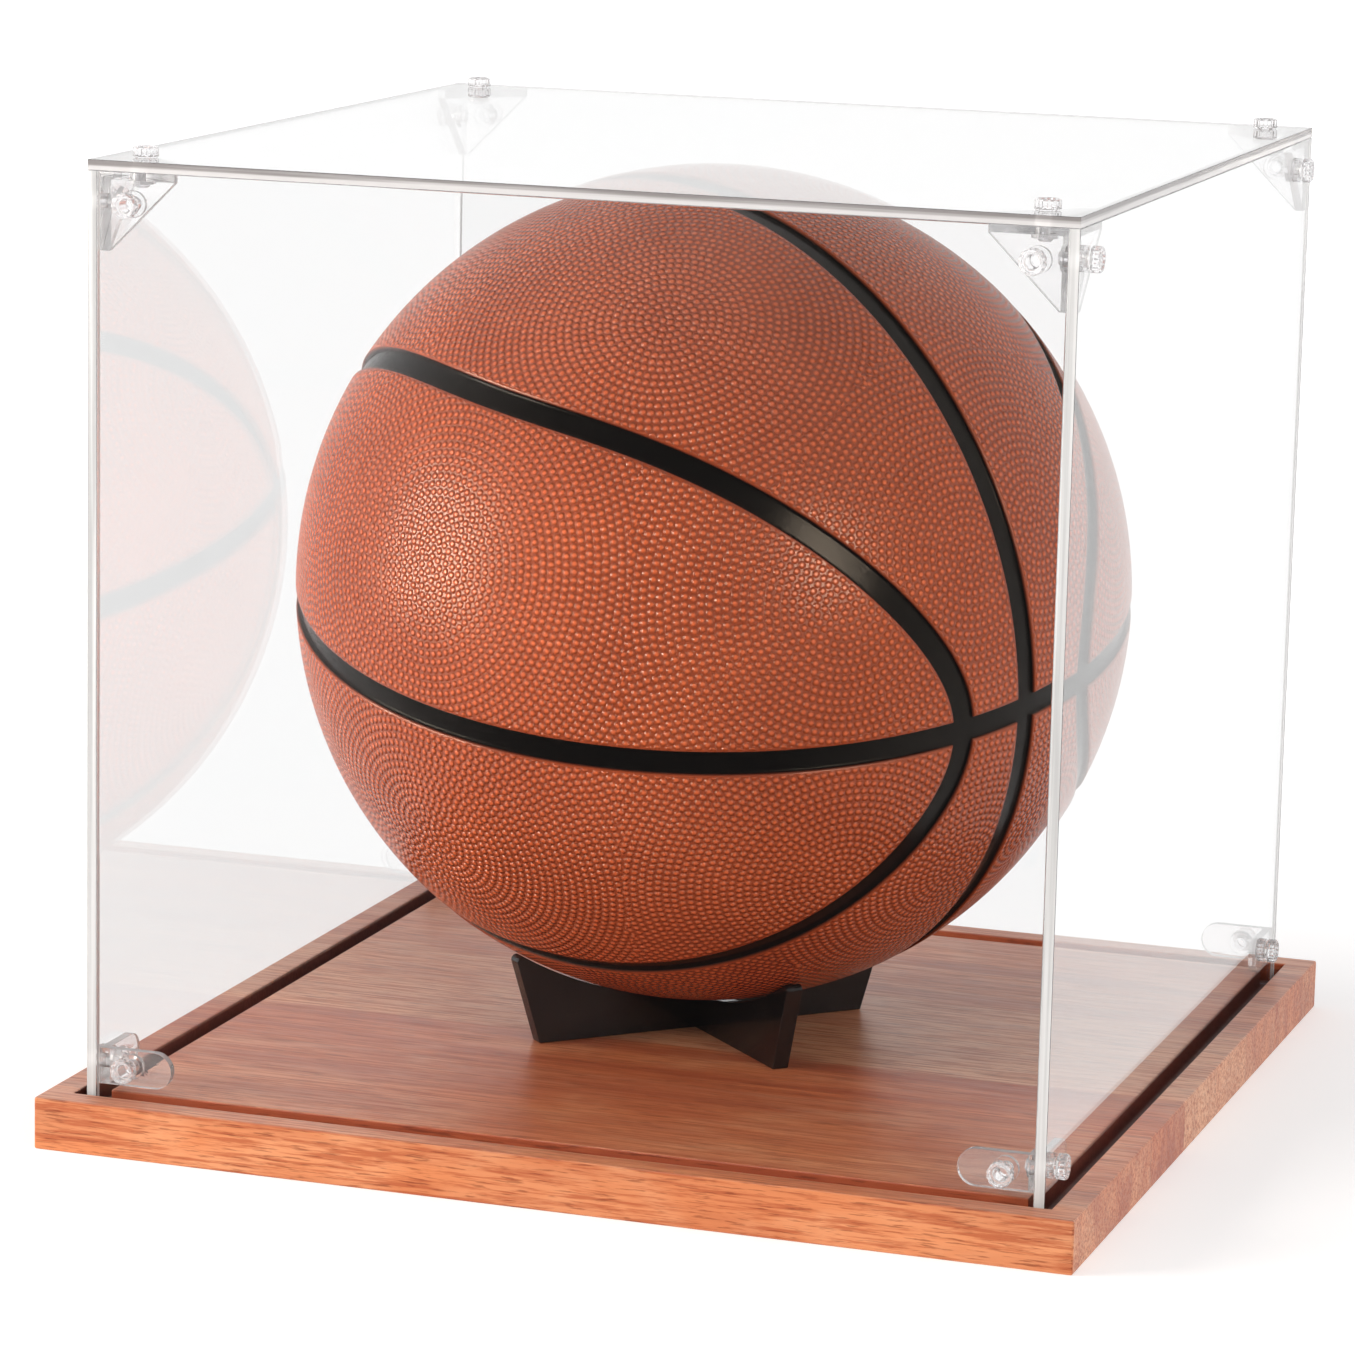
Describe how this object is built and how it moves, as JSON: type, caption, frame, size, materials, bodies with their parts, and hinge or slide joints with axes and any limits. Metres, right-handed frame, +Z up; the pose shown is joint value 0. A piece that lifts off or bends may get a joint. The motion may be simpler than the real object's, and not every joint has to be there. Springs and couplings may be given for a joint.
{
  "type": "ball display case",
  "caption": "Clear lift-off display cover on a grooved wooden base, held together by corner brackets and thumbscrews, with a crossed stand carrying a ball.",
  "frame": {"origin": "centre of the base's underside", "axes": "+Z up, -Y towards the front, +X to the right seen from the front"},
  "size_m": [0.3, 0.3, 0.28],
  "materials": {
    "wood": "satin",
    "clear_panel": "clear gloss acrylic",
    "clear_bracket": "clear gloss moulded plastic",
    "clear_screw": "clear gloss moulded plastic",
    "black_acrylic": "gloss",
    "ball_rubber": "pebbled satin"
  },
  "bodies": {
    "base": {"base_board": "wood"},
    "cover": {"panel_top": "clear_panel", "panel_front": "clear_panel", "panel_right": "clear_panel", "panel_back": "clear_panel", "panel_left": "clear_panel", "upper_bracket_front_right": "clear_bracket", "upper_bracket_back_right": "clear_bracket", "upper_bracket_back_left": "clear_bracket", "upper_bracket_front_left": "clear_bracket", "lower_bracket_front_right": "clear_bracket", "lower_bracket_back_right": "clear_bracket", "lower_bracket_back_left": "clear_bracket", "lower_bracket_front_left": "clear_bracket"},
    "thumbscrew_top_front_right": {"thumbscrew_top_front_right": "clear_screw"},
    "thumbscrew_top_back_right": {"thumbscrew_top_back_right": "clear_screw"},
    "thumbscrew_top_back_left": {"thumbscrew_top_back_left": "clear_screw"},
    "thumbscrew_top_front_left": {"thumbscrew_top_front_left": "clear_screw"},
    "thumbscrew_front_lower_left": {"thumbscrew_front_lower_left": "clear_screw"},
    "thumbscrew_front_lower_right": {"thumbscrew_front_lower_right": "clear_screw"},
    "thumbscrew_front_upper_left": {"thumbscrew_front_upper_left": "clear_screw"},
    "thumbscrew_front_upper_right": {"thumbscrew_front_upper_right": "clear_screw"},
    "thumbscrew_right_lower_front": {"thumbscrew_right_lower_front": "clear_screw"},
    "thumbscrew_right_lower_back": {"thumbscrew_right_lower_back": "clear_screw"},
    "thumbscrew_right_upper_front": {"thumbscrew_right_upper_front": "clear_screw"},
    "thumbscrew_right_upper_back": {"thumbscrew_right_upper_back": "clear_screw"},
    "thumbscrew_back_lower_right": {"thumbscrew_back_lower_right": "clear_screw"},
    "thumbscrew_back_lower_left": {"thumbscrew_back_lower_left": "clear_screw"},
    "thumbscrew_back_upper_right": {"thumbscrew_back_upper_right": "clear_screw"},
    "thumbscrew_back_upper_left": {"thumbscrew_back_upper_left": "clear_screw"},
    "thumbscrew_left_lower_back": {"thumbscrew_left_lower_back": "clear_screw"},
    "thumbscrew_left_lower_front": {"thumbscrew_left_lower_front": "clear_screw"},
    "thumbscrew_left_upper_back": {"thumbscrew_left_upper_back": "clear_screw"},
    "thumbscrew_left_upper_front": {"thumbscrew_left_upper_front": "clear_screw"},
    "stand": {"stand_plate_a": "black_acrylic", "stand_plate_b": "black_acrylic"},
    "ball": {"ball": "ball_rubber"}
  },
  "joints": [
    {"name": "cover_lift", "type": "slide", "parent": "base", "child": "cover", "axis": [0, 0, 1], "range_m": [0, 0.28]},
    {"name": "thumbscrew_top_front_right_turn", "type": "hinge", "parent": "cover", "child": "thumbscrew_top_front_right", "pos_m": [0.127, -0.127, 0.277], "axis": [0, 0, 1], "continuous": true},
    {"name": "thumbscrew_top_back_right_turn", "type": "hinge", "parent": "cover", "child": "thumbscrew_top_back_right", "pos_m": [0.127, 0.127, 0.277], "axis": [0, 0, 1], "continuous": true},
    {"name": "thumbscrew_top_back_left_turn", "type": "hinge", "parent": "cover", "child": "thumbscrew_top_back_left", "pos_m": [-0.127, 0.127, 0.277], "axis": [0, 0, 1], "continuous": true},
    {"name": "thumbscrew_top_front_left_turn", "type": "hinge", "parent": "cover", "child": "thumbscrew_top_front_left", "pos_m": [-0.127, -0.127, 0.277], "axis": [0, 0, 1], "continuous": true},
    {"name": "thumbscrew_front_lower_left_turn", "type": "hinge", "parent": "cover", "child": "thumbscrew_front_lower_left", "pos_m": [-0.127, -0.139, 0.0225], "axis": [0, -1, 0], "continuous": true},
    {"name": "thumbscrew_front_lower_right_turn", "type": "hinge", "parent": "cover", "child": "thumbscrew_front_lower_right", "pos_m": [0.127, -0.139, 0.0225], "axis": [0, -1, 0], "continuous": true},
    {"name": "thumbscrew_front_upper_left_turn", "type": "hinge", "parent": "cover", "child": "thumbscrew_front_upper_left", "pos_m": [-0.127, -0.139, 0.265], "axis": [0, -1, 0], "continuous": true},
    {"name": "thumbscrew_front_upper_right_turn", "type": "hinge", "parent": "cover", "child": "thumbscrew_front_upper_right", "pos_m": [0.127, -0.139, 0.265], "axis": [0, -1, 0], "continuous": true},
    {"name": "thumbscrew_right_lower_front_turn", "type": "hinge", "parent": "cover", "child": "thumbscrew_right_lower_front", "pos_m": [0.139, -0.127, 0.0225], "axis": [1, 0, 0], "continuous": true},
    {"name": "thumbscrew_right_lower_back_turn", "type": "hinge", "parent": "cover", "child": "thumbscrew_right_lower_back", "pos_m": [0.139, 0.127, 0.0225], "axis": [1, 0, 0], "continuous": true},
    {"name": "thumbscrew_right_upper_front_turn", "type": "hinge", "parent": "cover", "child": "thumbscrew_right_upper_front", "pos_m": [0.139, -0.127, 0.265], "axis": [1, 0, 0], "continuous": true},
    {"name": "thumbscrew_right_upper_back_turn", "type": "hinge", "parent": "cover", "child": "thumbscrew_right_upper_back", "pos_m": [0.139, 0.127, 0.265], "axis": [1, 0, 0], "continuous": true},
    {"name": "thumbscrew_back_lower_right_turn", "type": "hinge", "parent": "cover", "child": "thumbscrew_back_lower_right", "pos_m": [0.127, 0.139, 0.0225], "axis": [0, 1, 0], "continuous": true},
    {"name": "thumbscrew_back_lower_left_turn", "type": "hinge", "parent": "cover", "child": "thumbscrew_back_lower_left", "pos_m": [-0.127, 0.139, 0.0225], "axis": [0, 1, 0], "continuous": true},
    {"name": "thumbscrew_back_upper_right_turn", "type": "hinge", "parent": "cover", "child": "thumbscrew_back_upper_right", "pos_m": [0.127, 0.139, 0.265], "axis": [0, 1, 0], "continuous": true},
    {"name": "thumbscrew_back_upper_left_turn", "type": "hinge", "parent": "cover", "child": "thumbscrew_back_upper_left", "pos_m": [-0.127, 0.139, 0.265], "axis": [0, 1, 0], "continuous": true},
    {"name": "thumbscrew_left_lower_back_turn", "type": "hinge", "parent": "cover", "child": "thumbscrew_left_lower_back", "pos_m": [-0.139, 0.127, 0.0225], "axis": [-1, 0, 0], "continuous": true},
    {"name": "thumbscrew_left_lower_front_turn", "type": "hinge", "parent": "cover", "child": "thumbscrew_left_lower_front", "pos_m": [-0.139, -0.127, 0.0225], "axis": [-1, 0, 0], "continuous": true},
    {"name": "thumbscrew_left_upper_back_turn", "type": "hinge", "parent": "cover", "child": "thumbscrew_left_upper_back", "pos_m": [-0.139, 0.127, 0.265], "axis": [-1, 0, 0], "continuous": true},
    {"name": "thumbscrew_left_upper_front_turn", "type": "hinge", "parent": "cover", "child": "thumbscrew_left_upper_front", "pos_m": [-0.139, -0.127, 0.265], "axis": [-1, 0, 0], "continuous": true},
    {"name": "stand_turn", "type": "hinge", "parent": "base", "child": "stand", "pos_m": [-0.004, 0, 0.015], "axis": [0, 0, 1], "continuous": true},
    {"name": "ball_spin", "type": "hinge", "parent": "stand", "child": "ball", "pos_m": [-0.004, 0, 0.147], "axis": [0, 0, 1], "continuous": true}
  ]
}
